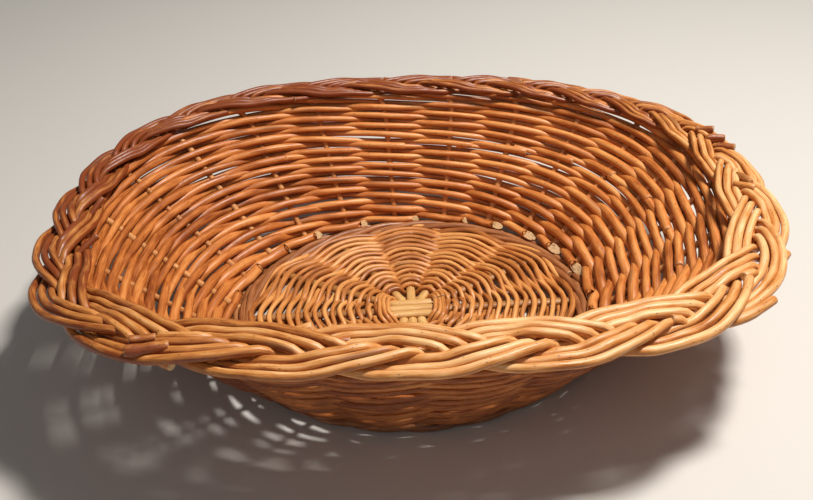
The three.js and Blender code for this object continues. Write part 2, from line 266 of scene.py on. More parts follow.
# %% Cut end group and willow materials
cut, cut_in, cut_out = new_group(
    "cut_end",
    [("Color", "Color"), ("Place", "Vector"), ("Cut", "Float")],
    [("Color", "Color")],
)
END_WOOD = (0.76, 0.5, 0.25, 1.0)
END_DIRT = (0.16, 0.07, 0.03, 1.0)
END_SCALE = (400.0, 900.0, 900.0)
GRAIN_DARK, GRAIN_PALE = 0.28, 0.46
end_grain = noise(cut, cut_in.outputs["Place"], END_SCALE)
end_colour = blend_colours(cut, remap(cut, end_grain, GRAIN_DARK, GRAIN_PALE), END_DIRT, END_WOOD)
cut.links.new(blend_colours(cut, cut_in.outputs["Cut"], cut_in.outputs["Color"], end_colour),
              cut_out.inputs["Color"])
RELIEF_DEPTH = 0.35 * MM
SPECKS = 0.1  # share of the speck cells that hold a speck
RELIEF = 0.6


def willow(name, pale, middle, dark):
    """A willow material from its three colours: where the rod is pale, usual and dark."""
    material = bpy.data.materials.new(name)
    material.use_nodes = True
    tree = material.node_tree
    shader = tree.nodes["Principled BSDF"]
    place = add_node(tree, "ShaderNodeAttribute", attribute_name="rod_place")
    tone = add_node(tree, "ShaderNodeAttribute", attribute_name="rod_tone")
    cut_mark = add_node(tree, "ShaderNodeAttribute", attribute_name="rod_cut")
    pattern = add_node(tree, "ShaderNodeGroup", node_tree=skin)
    pattern.inputs["Pale"].default_value = (*pale, 1.0)
    pattern.inputs["Middle"].default_value = (*middle, 1.0)
    pattern.inputs["Dark"].default_value = (*dark, 1.0)
    pattern.inputs["Specks"].default_value = SPECKS
    tree.links.new(place.outputs["Vector"], pattern.inputs["Place"])
    tree.links.new(tone.outputs["Fac"], pattern.inputs["Tone"])
    ends = add_node(tree, "ShaderNodeGroup", node_tree=cut)
    tree.links.new(pattern.outputs["Color"], ends.inputs["Color"])
    tree.links.new(place.outputs["Vector"], ends.inputs["Place"])
    tree.links.new(cut_mark.outputs["Fac"], ends.inputs["Cut"])
    bump = add_node(tree, "ShaderNodeBump", values={"Strength": RELIEF, "Distance": RELIEF_DEPTH})
    tree.links.new(pattern.outputs["Height"], bump.inputs["Height"])
    tree.links.new(ends.outputs["Color"], shader.inputs["Base Color"])
    tree.links.new(pattern.outputs["Roughness"], shader.inputs["Roughness"])
    tree.links.new(bump.outputs["Normal"], shader.inputs["Normal"])
    shader.inputs["Specular IOR Level"].default_value = 0.5
    return material


WEAVER_WILLOW = willow("weaver_willow", (0.86, 0.39, 0.115), (0.6, 0.19, 0.04), (0.25, 0.055, 0.01))
STAKE_WILLOW = willow("stake_willow", (0.8, 0.4, 0.14), (0.58, 0.22, 0.06), (0.25, 0.07, 0.018))
BORDER_WILLOW = willow("border_willow", (0.88, 0.54, 0.245), (0.64, 0.245, 0.055), (0.24, 0.05, 0.01))
STICK_WILLOW = willow("stick_willow", (0.8, 0.5, 0.19), (0.62, 0.32, 0.1), (0.36, 0.15, 0.04))
BASE_WILLOW = willow("base_weave_willow", (0.84, 0.42, 0.135), (0.6, 0.22, 0.052), (0.27, 0.075, 0.015))
# Painted shade: the foot's three colours are darker than the other willow's, as under the basket.
SHADED_FOOT_WILLOW = willow("shaded_foot_willow", (0.5, 0.2, 0.07), (0.3, 0.1, 0.03), (0.12, 0.035, 0.012))
print("willow materials:", [material.name for material in bpy.data.materials if "_willow" in material.name])

# %% [markdown]
# ## One rod
# A willow rod is a long, tapered, slightly uneven round stick. A curve object with a bevel would
# give a round tube, but not a taper that wanders, nor the place that the pattern needs. So a rod
# is a profile carried along a path, worked out as whole arrays: a ring of points at each
# station, small bevels at both ends and a pole in each cut face. Stain gathers where rods lie side
# by side and shade falls there too, so the tone is lowered on a rod's flanks as stain and painted
# shade, which sets each rod off from the next.

# %% Rod arrays
ROD_SIDES = 10
BEVEL = 0.5 * MM  # length of the little bevel at a cut end
BEVEL_SHARE = 0.86  # radius left at the cut face
PLACE_SPREAD = 5.0  # rods start this far apart, in metres, in the pattern's space


def unit(vectors):
    """Each vector divided by its own length."""
    return vectors / np.linalg.norm(vectors, axis=-1, keepdims=True)


def lengths_along(middle):
    """Distance from the first point to each point of a path."""
    steps = np.linalg.norm(np.diff(middle, axis=0), axis=1)
    return np.concatenate([[0.0], np.cumsum(steps)])


def wander(rng, distance, strength, longest, shortest, waves=5):
    """Smooth uneven drift: strength / sqrt(waves) * sum of sin(TURN * distance / length + phase)."""
    wavelengths = rng.uniform(shortest, longest, waves)
    phases = rng.uniform(0, TURN, waves)
    swing = np.sin(np.asarray(distance)[..., None] * TURN / wavelengths + phases)
    return strength * swing.sum(-1) / math.sqrt(waves)


print("path helpers ready, pattern spread, m:", PLACE_SPREAD)


# %% A rod's surface
def rod(rng, middle, radius, up, tone=0.5, sides=ROD_SIDES, flat=1.0, crease_stain_and_shade=0.0, slant=0.0, up_side_shade=0.0):
    """One closed rod: points, faces, smooth flags and the pattern's attributes.

    point(i, a) = middle_i + radius_i (across_i cos a + flat rise_i sin a), with
    across = unit(tangent x up) and rise = across x tangent. Stain and painted shade, where rods lie
    side by side, lower the tone on the flanks, and painted shade lowers it on the side that faces `up`:
    tone(i, a) = tone_i - c (1 - |sin a|) - u max(sin a, 0), with c the flanks' stain and shade and u that
    side's shade.
    A slanting first end is shifted along the rod by -slant radius sin a.
    """
    middle = np.asarray(middle, float)
    count = len(middle)
    radius = np.broadcast_to(radius, count).astype(float)
    tone = np.broadcast_to(tone, count).astype(float)
    tangent = unit(np.gradient(middle, axis=0))
    across = unit(np.cross(tangent, np.broadcast_to(up, middle.shape)))
    rise = np.cross(across, tangent)
    order = np.concatenate([[0], np.arange(count), [count - 1]])
    middle = middle[order]
    middle[1] += tangent[0] * BEVEL
    middle[-2] -= tangent[-1] * BEVEL
    across, rise, radius, tone = across[order], rise[order], radius[order], tone[order]
    radius[[0, -1]] *= BEVEL_SHARE
    rings = count + 2
    turn = TURN * np.arange(sides) / sides
    cos_turn = np.cos(turn)[None, :, None]
    sin_turn = np.sin(turn)[None, :, None]
    section = across[:, None] * cos_turn + flat * rise[:, None] * sin_turn
    points = middle[:, None] + radius[:, None, None] * section
    points[:2] -= slant * radius[:2, None, None] * sin_turn * tangent[0]
    along = lengths_along(middle)
    place = np.empty((rings, sides, 3))
    place[..., 0] = along[:, None]
    place[..., 1] = radius[:, None] * np.cos(turn)
    place[..., 2] = radius[:, None] * np.sin(turn)
    ends = np.stack([middle[0], middle[-1]])
    end_places = np.array([[along[0], 0, 0], [along[-1], 0, 0]])
    # Stain and painted shade darken the flanks, and painted shade darkens the side that faces `up`.
    stained_and_shaded = tone[:, None] - crease_stain_and_shade * (1 - np.abs(np.sin(turn))) - up_side_shade * np.maximum(np.sin(turn), 0)
    cut_mark = np.zeros((rings, sides))
    cut_mark[[0, -1]] = 1.0
    i, a = np.meshgrid(np.arange(rings - 1), np.arange(sides), indexing="ij")
    b = (a + 1) % sides
    quads = np.stack([i * sides + a, (i + 1) * sides + a, (i + 1) * sides + b, i * sides + b], -1)
    a = np.arange(sides)
    b = (a + 1) % sides
    pole = rings * sides
    first = np.stack([np.full(sides, pole), a, b], -1)
    last = np.stack([np.full(sides, pole + 1), (rings - 1) * sides + b, (rings - 1) * sides + a], -1)
    return {
        "points": np.concatenate([points.reshape(-1, 3), ends]),
        "quads": quads.reshape(-1, 4),
        "fans": np.concatenate([first, last]),
        "place": np.concatenate([place.reshape(-1, 3), end_places]) + rng.uniform(0, PLACE_SPREAD, 3),
        "tone": np.concatenate([stained_and_shaded.reshape(-1), tone[[0, -1]]]),
        "cut": np.concatenate([cut_mark.reshape(-1), [1.0, 1.0]]),
    }


print("rods have", ROD_SIDES, "sides unless told otherwise")

# %% Pieces
triangle_total = 0


def make_piece(name, rods, material, nodes):
    """One mesh of one or more rods, their arrays laid end to end; it stands for CAD nodes."""
    global triangle_total
    starts = np.cumsum([0] + [len(r["points"]) for r in rods])
    quads = np.concatenate([r["quads"] + start for r, start in zip(rods, starts)])
    fans = np.concatenate([r["fans"] + start for r, start in zip(rods, starts)])
    mesh = bpy.data.meshes.new(name)
    mesh.from_pydata(np.concatenate([r["points"] for r in rods]), [], quads.tolist() + fans.tolist())
    mesh.polygons.foreach_set("use_smooth", [True] * len(quads) + [False] * len(fans))
    for title, key, kind, field in (("rod_place", "place", "FLOAT_VECTOR", "vector"),
                                    ("rod_tone", "tone", "FLOAT", "value"),
                                    ("rod_cut", "cut", "FLOAT", "value")):
        values = np.concatenate([r[key] for r in rods]).astype(np.float32)
        mesh.attributes.new(title, kind, "POINT").data.foreach_set(field, values.ravel())
    mesh.materials.append(material)
    piece = bpy.data.objects.new(name, mesh)
    bpy.context.scene.collection.objects.link(piece)
    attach(piece, "root")
    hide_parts(*nodes)
    triangle_total += 2 * len(quads) + len(fans)
    return piece


print("pieces are made from rods with three attributes")

# %% [markdown]
# ## The wall's middle surface
# On the real basket the stakes set the shape and the weavers follow. So the wall's surface comes
# from the CAD stakes: each one's middle line is read at equal heights, a cubic in the level joins
# the heights, and a Fourier series joins the stakes all the way round without a seam.

# %% Wall surface
stake_nodes = sorted(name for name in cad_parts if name.startswith("side_stake_"))
STAKES = len(stake_nodes)
CAD_RINGS = 6
CAD_LEVELS = np.linspace(0, 1, CAD_RINGS)


def stake_middle(name):
    """Middle of each ring of corners up a CAD stake, from its foot to its top."""
    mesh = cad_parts[name].data
    corners = np.empty(len(mesh.vertices) * 3, np.float32)
    mesh.vertices.foreach_get("co", corners)
    corners = np.unique(corners.reshape(-1, 3).round(6), axis=0)
    height = corners[:, 2]
    ring = np.rint((height - height.min()) / np.ptp(height) * (CAD_RINGS - 1)).astype(int)
    total = np.zeros((CAD_RINGS, 3))
    np.add.at(total, ring, corners)
    return total / np.bincount(ring, minlength=CAD_RINGS)[:, None]


stake_lines = np.stack([stake_middle(name) for name in stake_nodes])
level_terms = np.polynomial.polynomial.polyfit(
    CAD_LEVELS, stake_lines.transpose(1, 0, 2).reshape(CAD_RINGS, -1), 3,
).reshape(4, STAKES, 3)
wave_terms = np.fft.rfft(level_terms, axis=1)
WAVES = np.arange(wave_terms.shape[1])
wave_weights = np.where((WAVES == 0) | (WAVES == STAKES / 2), 1.0, 2.0) / STAKES


def wall(stake, level):
    """The wall at a stake number, whole or not, and a level from 0 at the foot to 1 at the top.

    point = sum over p and h of level^p weight_h term_ph exp(i TURN h stake / STAKES), real part.
    """
    stake, level = np.broadcast_arrays(np.asarray(stake, float), np.asarray(level, float))
    waves = np.exp(1j * TURN * stake[..., None] * WAVES / STAKES) * wave_weights
    powers = level[..., None] ** np.arange(4)
    return np.einsum("...h,phc,...p->...c", waves, wave_terms, powers).real


print("stakes read:", STAKES, " Fourier terms:", len(WAVES))

# %% Lengths and directions on the wall
STEP = 0.01  # of a stake or a level, for finding directions


def wall_stretch(stake):
    """Length of the wall up one stake number, over its length where the wall is shortest."""
    rise = np.linalg.norm(wall(stake, 1.0) - wall(stake, 0.0), axis=-1)
    return rise / shortest_rise


shortest_rise = np.linalg.norm(wall(np.arange(STAKES), 1.0) - wall(np.arange(STAKES), 0.0), axis=-1).min()


def end_tone_and_shade(points, left, right):
    """How much lighter rods are at the basket's two ends, partly their own colour and partly painted shade:
    left or right times |x| / half length.
    """
    along = points[:, 0] / cad_box[1][0]
    return np.where(along < 0, left, right) * np.abs(along)


def wall_out(stake, level):
    """Unit vector out through the wall: along the wall crossed with up the wall."""
    stake = np.asarray(stake, float)
    level = np.asarray(level, float)
    along = wall(stake + STEP, level) - wall(stake - STEP, level)
    climb = wall(stake, level + STEP) - wall(stake, level - STEP)
    return unit(np.cross(along, climb))


def level_out(stake, level=1.0):
    """Unit vector out from the basket in plan."""
    along = wall(np.asarray(stake, float) + STEP, level) - wall(np.asarray(stake, float) - STEP, level)
    flat = np.stack([along[..., 1], -along[..., 0], np.zeros_like(along[..., 0])], -1)
    return unit(flat)


wall_side = np.linalg.norm(np.diff(wall(5.0, CAD_LEVELS), axis=0), axis=1).sum()
print("wall length up one stake, mm:", round(wall_side / MM, 1))

# %% [markdown]
# ## Stakes
# The stakes are the thick rods that the wall is woven round. Each one is pushed into the base
# beside a spoke, pricked up at the foot, and bent down into the border at the top. Little of a
# stake shows between the weavers, but its bumps give the wall its columns.

# %% Stakes
STAKE_RADIUS = 2.3 * MM
STAKE_TAPER = 0.86  # share of the radius left at the top
STAKE_STATIONS = 40
ROOT_LENGTH = 9 * MM  # how far a stake reaches in under the base weave
ROOT_HEIGHT = 5.9 * MM
TOP_REACH = 1.06  # level at which a stake has turned into the border
TOP_LEAN = 0.16  # stakes that it leans along by then
LEAN_START = 0.9  # level at which it starts to lean
ROOT_STATIONS = 6
STAKE_UP = np.array([0.13, 0.07, 0.02])  # no stake points this way, so its rings never flip


def stake_path(number):
    """A stake's middle line: in under the base, up the wall, and leaning along into the border."""
    level = np.linspace(0.0, TOP_REACH, STAKE_STATIONS)
    lean = TOP_LEAN * np.clip((level - LEAN_START) / (TOP_REACH - LEAN_START), 0, 1) ** 2
    up_wall = wall(number + lean, level)
    foot = up_wall[0]
    inward = -level_out(number, 0.0)
    share = np.linspace(0, 1, ROOT_STATIONS)[:-1, None]
    root = foot + inward * ROOT_LENGTH * (1 - share)
    root[:, 2] = ROOT_HEIGHT + (foot[2] - ROOT_HEIGHT) * share[:, 0] ** 2
    return np.concatenate([root, up_wall])


rng = np.random.default_rng(11)
for index, node in enumerate(stake_nodes):
    middle = stake_path(index)
    distance = lengths_along(middle)
    share = distance / distance[-1]
    middle = middle + level_out(index)[None] * wander(rng, distance, 0.35 * MM, 0.08, 0.03)[:, None]
    radius = STAKE_RADIUS * (1 + (STAKE_TAPER - 1) * share) * rng.uniform(0.93, 1.07)
    radius = radius * (1 + wander(rng, distance, 0.03, 0.05, 0.015))
    up = STAKE_UP + level_out(index) * 0.01
    stake = rod(rng, middle, radius, up, tone=rng.uniform(0.35, 0.9))
    make_piece(f"stake_{index + 1:02d}", [stake], STAKE_WILLOW, [node])
print("stakes made:", STAKES)

# %% [markdown]
# ## Weavers
# The wall is randed the French way: one rod starts at every stake, and each climbs one row
# for every stake that it passes, so all the rods rise round the basket together like a screw with
# twenty-two threads. A rod passes inside one stake and outside the next. Two sets of rods fill the
# wall, each starting with its thick cut butt on the inside and ending in its thin tip.

# %% Rows of the wall
LOWER_ROWS = 14
UPPER_ROWS = 12
LOWER_DIAMETERS = (4.8, 3.5)  # at the first row and the last, in millimetres
UPPER_DIAMETERS = (4.1, 3.4)
FIRST_LEVEL = 0.03
LAST_LEVEL = 1.08


def set_height(rows, total_rows, diameters):
    """Height of a number of rows: the sum of diameters that shrink evenly from row to row."""
    first, last = diameters
    return first * rows + (last - first) * rows ** 2 / (2 * total_rows)


lower_height = set_height(LOWER_ROWS, LOWER_ROWS, LOWER_DIAMETERS)
full_height = lower_height + set_height(UPPER_ROWS, UPPER_ROWS, UPPER_DIAMETERS)


def row_level(row):
    """Level of a row, whole or not, from the diameters of the rods below it."""
    row = np.asarray(row, float)
    lower = set_height(np.minimum(row, LOWER_ROWS), LOWER_ROWS, LOWER_DIAMETERS)
    upper = set_height(np.maximum(row - LOWER_ROWS, 0), UPPER_ROWS, UPPER_DIAMETERS)
    return FIRST_LEVEL + (LAST_LEVEL - FIRST_LEVEL) * (lower + upper) / full_height


print("rows:", LOWER_ROWS + UPPER_ROWS, " wall height in rods, mm:", round(full_height, 1))

# %% Weavers
STATIONS_PER_STAKE = 11
WEAVE_SQUEEZE = 0.64  # how tightly a weaver hugs a stake, as a share of the two radii
LOWER_BUTT = (0.12, 0.6, 1.6)  # least and most stakes that a butt lies before its stake, and its slant
UPPER_BUTT = (0.2, 0.4, 0.0)
TIP_SHORT = 0.12  # stakes by which a tip ends before its last one
BUTT_STAND = 3.5 * MM  # how far in a butt stands off the wall for each stake of its reach
LOOSE_ROW = 0.22  # rows that a weaver wanders up and down
END_FILL = 1.8  # how far thicker rods make up for the longer wall at the ends
# Stain and painted shade darken each weaver's flanks by this much.
WEAVER_CREASE_STAIN_AND_SHADE = 0.6
# Painted shade: the weavers' outer side is darkened by this much.
WEAVER_OUTER_SHADE = 0.8
# Partly the rods' own colour, partly painted shade: the wall darkens towards both ends, most at the left.
LEFT_END_TONE_AND_SHADE, RIGHT_END_TONE_AND_SHADE = -0.75, -0.2


def weaver(rng, first_stake, first_row, rows, diameters, butt_values, tone):
    """One weaver: row = first_row + stakes passed, offset = -reach cos(pi stakes passed).

    A butt stands a little further in, and cos (1 + 0.14 sin^2) keeps the rod straighter between
    stakes than a plain wave does.
    """
    shortest, longest, slant = butt_values
    butt = rng.uniform(shortest, longest)
    passed = np.linspace(-butt, rows - TIP_SHORT, int((rows + butt) * STATIONS_PER_STAKE))
    share = np.clip(passed / rows, 0, 1)
    radius = (diameters[0] + (diameters[1] - diameters[0]) * share) / 2 * MM * rng.uniform(0.9, 1.13)
    stake = first_stake + passed
    row = first_row + passed + wander(rng, passed, LOOSE_ROW, 9.0, 2.5)
    level = row_level(np.clip(row, 0, LOWER_ROWS + UPPER_ROWS))
    stake_radius = STAKE_RADIUS * (1 + (STAKE_TAPER - 1) * level)
    reach = (stake_radius + radius) * WEAVE_SQUEEZE
    tight = np.cos(math.pi * passed)
    offset = -reach * tight * (1 + 0.14 * (1 - tight ** 2))
    offset = offset + wander(rng, passed, 0.25 * MM, 5.0, 1.2) - BUTT_STAND * np.clip(-passed, 0, 1)
    out = wall_out(stake, level)
    middle = wall(stake, level) + out * offset[:, None]
    radius = radius * wall_stretch(stake) ** END_FILL * (1 + wander(rng, passed, 0.04, 2.0, 0.4))
    # Partly the rods' own colour, partly painted shade: darker towards both ends of the wall, most at the
    # left.
    tone = tone + end_tone_and_shade(middle, LEFT_END_TONE_AND_SHADE, RIGHT_END_TONE_AND_SHADE)
    # Painted shade darkens each weaver's outer side, and stain and painted shade darken its flanks.
    return rod(rng, middle, radius, out, tone=tone, crease_stain_and_shade=WEAVER_CREASE_STAIN_AND_SHADE, slant=slant, up_side_shade=WEAVER_OUTER_SHADE)


rng = np.random.default_rng(23)
course_nodes = sorted(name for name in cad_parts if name.startswith("wall_course_"))
LOWER_COURSES = 11  # CAD courses that the lower set stands for
LOWER_SET = ("lower", 0, LOWER_ROWS, LOWER_DIAMETERS, LOWER_BUTT, (0.45, 1.1), course_nodes[:LOWER_COURSES])
UPPER_SET = ("upper", LOWER_ROWS, UPPER_ROWS, UPPER_DIAMETERS, UPPER_BUTT, (0.35, 1.05),
             course_nodes[LOWER_COURSES:])
for kind, first_row, rows, diameters, butt_values, tones, nodes in (LOWER_SET, UPPER_SET):
    for index in range(STAKES):
        made = weaver(rng, index, first_row, rows, diameters, butt_values, rng.uniform(*tones))
        name = f"{kind}_weaver_{index + 1:02d}"
        make_piece(name, [made], WEAVER_WILLOW, [nodes[index * len(nodes) // STAKES]])
print("weavers made:", 2 * STAKES, " triangles so far:", triangle_total)

# %% [markdown]
# ## Plaited border
# The tops of the stakes, with extra rods laid beside them, are plaited flat round the rim: three
# strands of three rods. A strand turns at one edge of the plait, passes over the next strand, then
# under the one after it, and reaches the other edge. Because 22 stakes isn't a multiple
# of 3, the three strands are really one strand that goes round three times.
# Seen from above a strand is a sine wave about the plait's middle line, with one wave for every three
# stakes, and its height is a steeper wave of half that length.

# %% Plait shape
PLAIT_OUTSET = 8 * MM  # the plait's middle lies this far outside the stakes
PLAIT_RISE = 6.2 * MM  # and this far above the top of the wall
PLAIT_DROOP = math.radians(4)
PLAIT_SWING = 11.4 * MM
PLAIT_LIFT = 3.3 * MM
PLAIT_SNAP = 2.8  # how sharply a strand changes from over to under
PLAIT_PHASE = math.radians(51)
EDGE_TURN = math.pi / 4  # a new arc starts this far past each crossing of the middle line
ARC_BLEND = 0.06  # share of an arc over which it takes on the next arc's thickness and tone
PLAIT_DRIFTS = ((43, 3.9), (14, 8.2), (18, 5.8))  # degrees ahead of the stakes, and at which stake
FRONT_SIZE = 1.0
BACK_SIZE = 0.74  # thinner rods lie in the far side
STRANDS = 3
RODS_PER_STRAND = 3
BORDER_RADIUS = 2.5 * MM
ROD_PITCH = 5.3 * MM
PLAIT_STATIONS = 16  # for each stake spacing
SIDE_LAG = math.radians(19.1)  # how much sooner or later a strand's outer rods cross


print("plait, mm wide:", round(2 * (PLAIT_SWING + ROD_PITCH + BORDER_RADIUS) / MM, 1))


# %% Plait line, wave, tone and size
def plait_middle(stake):
    """The plait's middle line: outset from the top of the wall in plan, and raised."""
    top = wall(stake, 1.0)
    return top + level_out(stake) * PLAIT_OUTSET + np.array([0, 0, PLAIT_RISE])


def plait_wave(count):
    """Angle of a strand's weave, drifting a little ahead of the stakes and back as hands do.

    wave = TURN count / 3 + phase + sum over k of drift_k cos(k TURN (count - stake_k) / STAKES).
    """
    wave = TURN * count / STRANDS + PLAIT_PHASE
    for order, (drift, stake) in enumerate(PLAIT_DRIFTS, 1):
        wave = wave + math.radians(drift) * np.cos(order * TURN * (count - stake) / STAKES)
    return wave


DARKEST_BORDER = -0.45
# Stain and painted shade darken the border rods' flanks by this much.
BORDER_CREASE_STAIN_AND_SHADE = 0.75
BORDER_SIDES = 12


def border_tone_and_shade(points):
    """Tone of the border, darkest at the left end and the far side: partly the rods' own colour, partly
    painted shade.

    0.75 + 0.95 x on the left or 0.05 x on the right, - 1.25 y on the far side or 0.1 y on the near
    side, with x and y as shares of the half length and half depth; never under the darkest tone.
    """
    along = points[:, 0] / cad_box[1][0]
    across = points[:, 1] / cad_box[1][1]
    tone = 0.75 + np.where(along < 0, 0.95, 0.05) * along - np.where(across > 0, 1.25, 0.1) * across
    return np.maximum(tone, DARKEST_BORDER)


def plait_size(points):
    """Share of the full rod size, from 1 at the near side down to the far side's share."""
    share = (points[:, 1] - cad_box[0][1]) / (cad_box[1][1] - cad_box[0][1])
    return FRONT_SIZE + (BACK_SIZE - FRONT_SIZE) * share * share * (3 - 2 * share)


def over_under(wave):
    """Height of a strand, -1 to 1: -tanh(snap * (sin 2w + sin 4w / 2) / 1.3)."""
    return -np.tanh(PLAIT_SNAP * (np.sin(2 * wave) + 0.5 * np.sin(4 * wave)) / 1.3)


print("plait height, mm:", round(plait_middle(0.0)[2] / MM, 1))


# %% One rod of the plait
def plait_rod(rng, start, end, lane, thickness=1.0):
    """One rod of a strand between two stake counts; lane is -1, 0 or 1 across the strand.

    sideways = swing sin w + lane pitch sqrt(1 + slope^2), height = lift over_under(w + lane lag cos w).
    """
    count = np.linspace(start, end, int((end - start) * PLAIT_STATIONS) + 1)
    wave = plait_wave(count)
    middle = plait_middle(count)
    size = plait_size(middle)
    spacing = np.linalg.norm(plait_middle(count + 0.5) - plait_middle(count - 0.5), axis=1)
    slope = size * PLAIT_SWING * np.cos(wave) * TURN / STRANDS / spacing
    arc = np.floor((wave - EDGE_TURN) / math.pi)
    within = (wave - EDGE_TURN) / math.pi - arc
    arcs = rng.uniform(-1, 1, (4, int(arc.max() - arc.min()) + 3))
    knots = np.arange(arcs.shape[1]) + arc.min()
    stair = arc + np.clip((within - (1 - ARC_BLEND)) / ARC_BLEND, 0, 1)
    size_drift, side_drift, lift_drift, tone_drift = (np.interp(stair, knots, row) for row in arcs)
    pitch = ROD_PITCH * np.sqrt(1 + slope ** 2)
    sideways = size * (PLAIT_SWING * np.sin(wave) + lane * pitch) + side_drift * 0.5 * MM
    lag = wave + lane * SIDE_LAG * np.cos(wave)
    height = size * PLAIT_LIFT * over_under(lag) + lift_drift * 0.35 * MM
    out = level_out(count)
    up = np.array([0.0, 0.0, 1.0])
    cos, sin = math.cos(PLAIT_DROOP), math.sin(PLAIT_DROOP)
    path = middle + out * (sideways * cos + height * sin)[:, None]
    path = path + up * (height * cos - sideways * sin)[:, None]
    distance = lengths_along(path)
    radius = thickness * size * BORDER_RADIUS * (1 + 0.09 * size_drift)
    radius = radius * (1 + wander(rng, distance, 0.025, 0.06, 0.02))
    # Partly the rods' own colour, partly painted shade: the border darkens at the left end and the far
    # side.
    tone = border_tone_and_shade(path) + 0.3 * tone_drift
    return rod(rng, path, radius, up, tone=tone, sides=BORDER_SIDES, crease_stain_and_shade=BORDER_CREASE_STAIN_AND_SHADE)


print("stations of a border rod for each stake:", PLAIT_STATIONS)

# %% Border rods
rng = np.random.default_rng(37)
border_nodes = sorted(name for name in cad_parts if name.startswith("border_strand_"))
joins = [0.0, 21.0, 42.0, 66.0]  # stake counts at which new rods take over, out of sight
for strand in range(STRANDS):
    for lane in (-1, 0, 1):
        rods = [plait_rod(rng, joins[strand], joins[strand + 1], lane)]
        name = f"border_rod_{strand * RODS_PER_STRAND + lane + 2}"
        make_piece(name, rods, BORDER_WILLOW, [border_nodes[strand]])
print("border rods:", STRANDS * RODS_PER_STRAND, " triangles so far:", triangle_total)

# %% [markdown]
# Here and there a thicker rod was added to a strand, and its cut butt shows on top. An added rod is
# a fourth lane beside the other three: it starts in sight and ends where its strand dives under.
# A few thin ends were left sticking out as well.

# %% Added rods and loose ends
ADDED_RODS = (
    # stake where it starts, strand angle there in degrees, stakes long, lane, thickness
    (12.45, 290, 0.95, 1.9, 1.12),
    (13.45, 300, 0.75, 1.9, 1.15),
    (8.35, 105, 1.2, -1.9, 1.2),
    (7.55, 285, 1.0, 1.9, 1.05),
    (15.75, 120, 0.9, -1.8, 1.0),
    (19.3, 300, 0.9, 1.8, 1.1),
    (2.6, 290, 0.9, 1.8, 1.1),
    (0.4, 110, 0.9, -1.8, 1.1),
)
LOOSE_ENDS = (
    # stake, sideways and up in millimetres, heading from the plait's direction, pitch, length, thickness
    (8.4, 11.0, 3.6, 150, 2, 13, 3.2),
    (8.3, 6.5, 4.8, 146, 3, 8, 2.4),
    (6.15, -13.0, 2.5, 235, 22, 11, 2.0),
    (5.25, -12.0, 3.0, 215, 30, 9, 1.9),
    (16.5, 5.0, 4.0, 130, 5, 7, 2.4),
    (16.75, 4.0, 4.2, 110, 4, 7, 2.4),
    (17.05, 5.0, 4.0, 135, 5, 7, 2.3),
    (15.6, 1.0, 4.4, 160, 4, 8, 2.3),
    (15.4, -2.0, 4.4, 130, 4, 8, 2.2),
)
LOOSE_STAIN = 0.5  # how much darker the loose ends are than the border about them
# Stain and painted shade darken the loose ends' flanks by this much.
LOOSE_CREASE_STAIN_AND_SHADE = 0.6
LOOSE_CUT = 0.45  # their old cuts are only this pale, where a fresh one is 1


print("added rods listed:", len(ADDED_RODS), " loose ends listed:", len(LOOSE_ENDS))


# %% Making the added rods and loose ends
def strand_count(stake, wanted):
    """The count along the one long strand that is at a stake with its wave nearest a wanted angle."""
    counts = stake + STAKES * np.arange(STRANDS)
    miss = (plait_wave(counts) - wanted + math.pi) % TURN - math.pi
    return counts[np.argmin(np.abs(miss))]


def loose_end(rng, stake, sideways, lift, heading, pitch, length, thickness):
    """A short straight stub: it leaves the plait at a heading in plan and a pitch above it."""
    base = plait_middle(stake)
    out = level_out(stake)
    along = np.array([-out[1], out[0], 0.0])
    up = np.array([0.0, 0.0, 1.0])
    turn, rise = math.radians(heading), math.radians(pitch)
    way = math.cos(rise) * (math.cos(turn) * along + math.sin(turn) * out) + math.sin(rise) * up
    distance = np.linspace(-0.6, 1.0, 12) * length * MM
    start = base + out * sideways * MM + up * lift * MM
    path = start + distance[:, None] * way + up * wander(rng, distance, 0.3 * MM, 0.03, 0.01)[:, None]
    radius = thickness * MM * (1 + wander(rng, distance, 0.05, 0.02, 0.006))
    # The stub takes the border's tone, painted shade at the left end and far side included.
    stub = rod(rng, path, radius, up, tone=border_tone_and_shade(path) - LOOSE_STAIN, crease_stain_and_shade=LOOSE_CREASE_STAIN_AND_SHADE)
    stub["cut"] = stub["cut"] * LOOSE_CUT
    return stub


rng = np.random.default_rng(43)
added = []
for stake, wanted, length, lane, thickness in ADDED_RODS:
    count = strand_count(stake, math.radians(wanted))
    added.append(plait_rod(rng, count, count + length, lane, thickness))
make_piece("border_added_rods", added, BORDER_WILLOW, [border_nodes[0]])
stubs = [loose_end(rng, *values) for values in LOOSE_ENDS]
make_piece("border_loose_ends", stubs, BORDER_WILLOW, [border_nodes[0]])
print("added rods:", len(added), " loose ends:", len(stubs))

# %% [markdown]
# ## Base sticks
# Three thick sticks are slit in the middle and three others pushed through them. Away from the cross
# they are fanned out into twelve spokes. They are shaved flat, so their section is a flattened round.

# %% Base outline and sticks
foot_low, foot_high = (np.array(corner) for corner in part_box("foot_ring"))
FOOT_WIDTH = 9 * MM
FOOT_HALF = (foot_high - foot_low)[:2] / 2 - FOOT_WIDTH / 2
stick_low, stick_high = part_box("split_stick_2")
BASE_MIDDLE = (stick_low[2] + stick_high[2]) / 2
STICK_RADIUS = 2.9 * MM
STICK_FLAT = 0.7
LANE_PITCH = 5.7 * MM
SPOKES = 12
SPOKE_ANGLE = TURN / SPOKES
CROSS_HALF = 12 * MM  # the sticks lie side by side this far from the middle
STICK_STATIONS = 49


def foot_radius(angle):
    """Radius of the base's oval outline at a polar angle."""
    return 1 / np.hypot(np.cos(angle) / FOOT_HALF[0], np.sin(angle) / FOOT_HALF[1])


